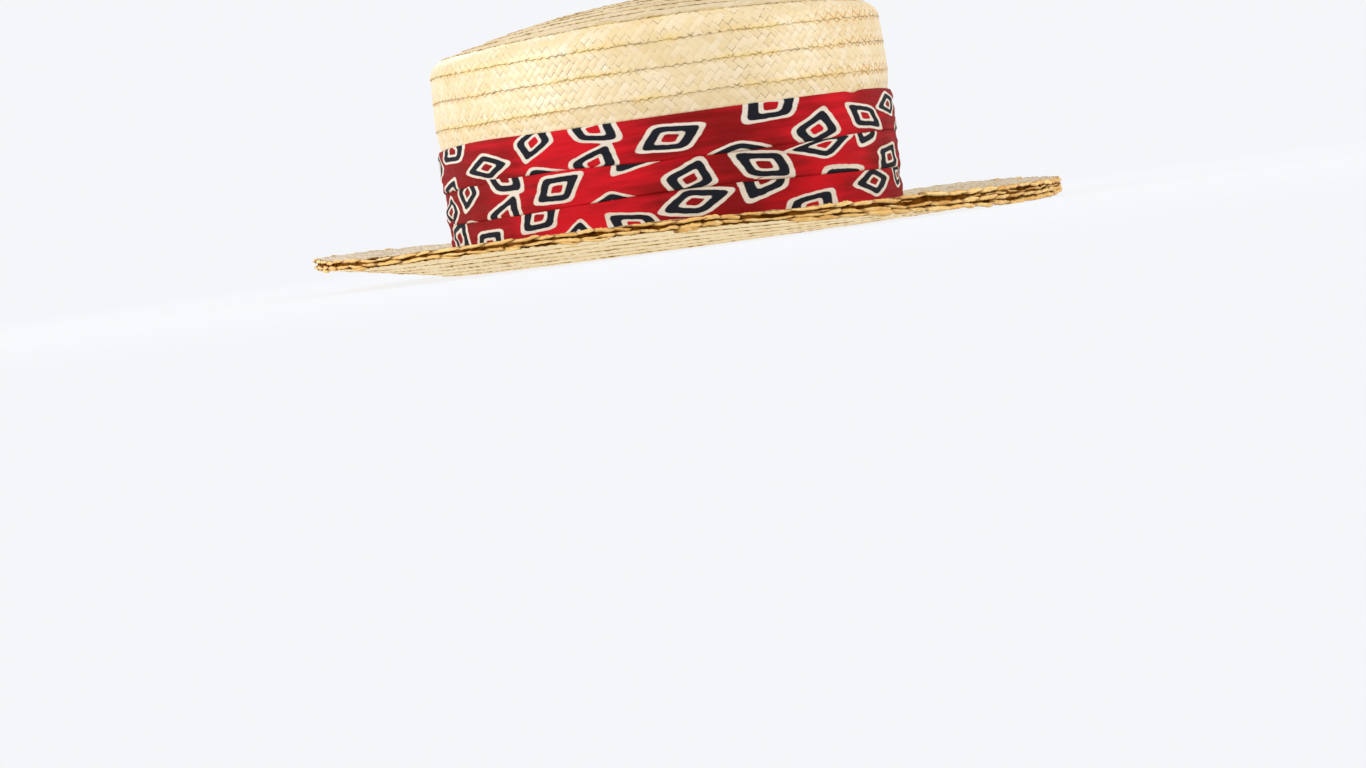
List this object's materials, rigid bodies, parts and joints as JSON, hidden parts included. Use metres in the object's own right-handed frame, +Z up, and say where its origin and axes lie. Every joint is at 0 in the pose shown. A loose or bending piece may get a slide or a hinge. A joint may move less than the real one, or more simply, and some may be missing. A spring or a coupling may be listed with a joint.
{
  "type": "straw boater hat",
  "caption": "Straw boater hat: oval crown of sewn straw braid with a low domed tip, a wide flat two-ply brim and a pleated cotton band; worn on the head.",
  "frame": {"origin": "on the surface that the hat rests on, under the middle of the brim's outline", "axes": "+Z up through the crown, -Y towards the wearer's front, +X towards the wearer's left"},
  "size_m": [0.2964, 0.3258, 0.1034],
  "materials": {
    "crown_straw": "plaited natural straw, pale and slightly glossy",
    "brim_straw": "plaited natural straw with golden folded edges",
    "band_cotton": "pleated printed cotton, matt"
  },
  "bodies": {
    "root": {"crown": "crown_straw", "brim_upper": "brim_straw", "brim_lower": "brim_straw", "hat_band": "band_cotton"}
  },
  "joints": []
}
